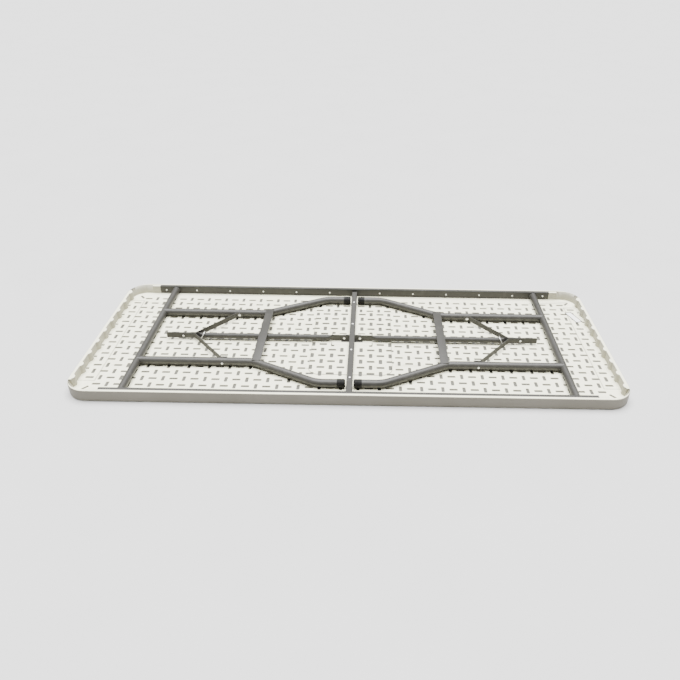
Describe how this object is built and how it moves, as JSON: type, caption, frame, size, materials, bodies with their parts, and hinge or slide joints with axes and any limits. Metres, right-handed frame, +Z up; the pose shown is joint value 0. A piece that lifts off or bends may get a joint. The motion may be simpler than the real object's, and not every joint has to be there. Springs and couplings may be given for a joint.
{
  "type": "folding table",
  "caption": "Rectangular moulded-top folding table stored face down, with steel side rails, hinged wishbone leg frames, folding Y braces and sliding lock rings.",
  "frame": {"origin": "centre of the table's outline on its use surface, which is the lowest plane because the table is stored face down", "axes": "+X along the length, +Y across the width, +Z up from the use surface to the underside"},
  "size_m": [1.83, 0.74, 0.042],
  "materials": {
    "white_hdpe": "lightly textured moulding",
    "grey_powder_coat": "satin powder coat",
    "zinc": "bright zinc plate",
    "black_rubber": "matt",
    "dark_nylon": "smooth"
  },
  "bodies": {
    "table": {"brace_bracket_left": "grey_powder_coat", "brace_bracket_right": "grey_powder_coat", "crossbar": "grey_powder_coat", "crossbar_rivets": "zinc", "link_rivet_left": "zinc", "link_rivet_right": "zinc", "pivot_bush_back_left": "dark_nylon", "pivot_bush_back_right": "dark_nylon", "pivot_bush_front_left": "dark_nylon", "pivot_bush_front_right": "dark_nylon", "rail_screws_back": "zinc", "rail_screws_front": "zinc", "side_rail_back": "grey_powder_coat", "side_rail_front": "grey_powder_coat", "tabletop": "white_hdpe"},
    "leg_frame_left": {"cross_plate_left": "grey_powder_coat", "foot_cap_back_left": "black_rubber", "foot_cap_front_left": "black_rubber", "leg_rivet_back_left": "zinc", "leg_rivet_front_left": "zinc", "leg_tube_back_left": "grey_powder_coat", "leg_tube_front_left": "grey_powder_coat", "pivot_tube_left": "grey_powder_coat"},
    "link_left": {"brace_link_left": "grey_powder_coat"},
    "y_brace_left": {"arm_stud_back_left": "zinc", "arm_stud_front_left": "zinc", "brace_arm_back_left": "grey_powder_coat", "brace_arm_front_left": "grey_powder_coat", "elbow_rivet_left": "zinc"},
    "ring_left": {"lock_ring_left": "zinc"},
    "leg_frame_right": {"cross_plate_right": "grey_powder_coat", "foot_cap_back_right": "black_rubber", "foot_cap_front_right": "black_rubber", "leg_rivet_back_right": "zinc", "leg_rivet_front_right": "zinc", "leg_tube_back_right": "grey_powder_coat", "leg_tube_front_right": "grey_powder_coat", "pivot_tube_right": "grey_powder_coat"},
    "link_right": {"brace_link_right": "grey_powder_coat"},
    "y_brace_right": {"arm_stud_back_right": "zinc", "arm_stud_front_right": "zinc", "brace_arm_back_right": "grey_powder_coat", "brace_arm_front_right": "grey_powder_coat", "elbow_rivet_right": "zinc"},
    "ring_right": {"lock_ring_right": "zinc"}
  },
  "joints": [
    {"name": "left_leg_fold", "type": "hinge", "parent": "table", "child": "leg_frame_left", "pos_m": [-0.734, 0, 0.0254], "axis": [0, -1, 0], "range_deg": [0, 90]},
    {"name": "left_link_swing", "type": "hinge", "parent": "table", "child": "link_left", "pos_m": [-0.0285, 0, 0.0254], "axis": [0, 1, 0], "range_deg": [0, 22.64]},
    {"name": "left_elbow_turn", "type": "hinge", "parent": "link_left", "child": "y_brace_left", "pos_m": [-0.6164, 0, 0.0254], "axis": [0, -1, 0], "range_deg": [0, 180.05]},
    {"name": "left_ring_slide", "type": "slide", "parent": "link_left", "child": "ring_left", "axis": [-1, 0, 0], "range_m": [0, 0.0801]},
    {"name": "right_leg_fold", "type": "hinge", "parent": "table", "child": "leg_frame_right", "pos_m": [0.734, 0, 0.0254], "axis": [0, 1, 0], "range_deg": [0, 90]},
    {"name": "right_link_swing", "type": "hinge", "parent": "table", "child": "link_right", "pos_m": [0.0285, 0, 0.0254], "axis": [0, -1, 0], "range_deg": [0, 22.64]},
    {"name": "right_elbow_turn", "type": "hinge", "parent": "link_right", "child": "y_brace_right", "pos_m": [0.6164, 0, 0.0254], "axis": [0, 1, 0], "range_deg": [0, 180.05]},
    {"name": "right_ring_slide", "type": "slide", "parent": "link_right", "child": "ring_right", "axis": [1, 0, 0], "range_m": [0, 0.0801]}
  ],
  "couplings": [
    {"joint": "left_link_swing", "follows": "left_leg_fold", "ratio": 0.25136},
    {"joint": "left_elbow_turn", "follows": "left_leg_fold", "ratio": 2},
    {"joint": "left_ring_slide", "follows": "left_leg_fold", "m_per_rad": 0.05093},
    {"joint": "right_link_swing", "follows": "right_leg_fold", "ratio": 0.25136},
    {"joint": "right_elbow_turn", "follows": "right_leg_fold", "ratio": 2},
    {"joint": "right_ring_slide", "follows": "right_leg_fold", "m_per_rad": 0.05093}
  ]
}
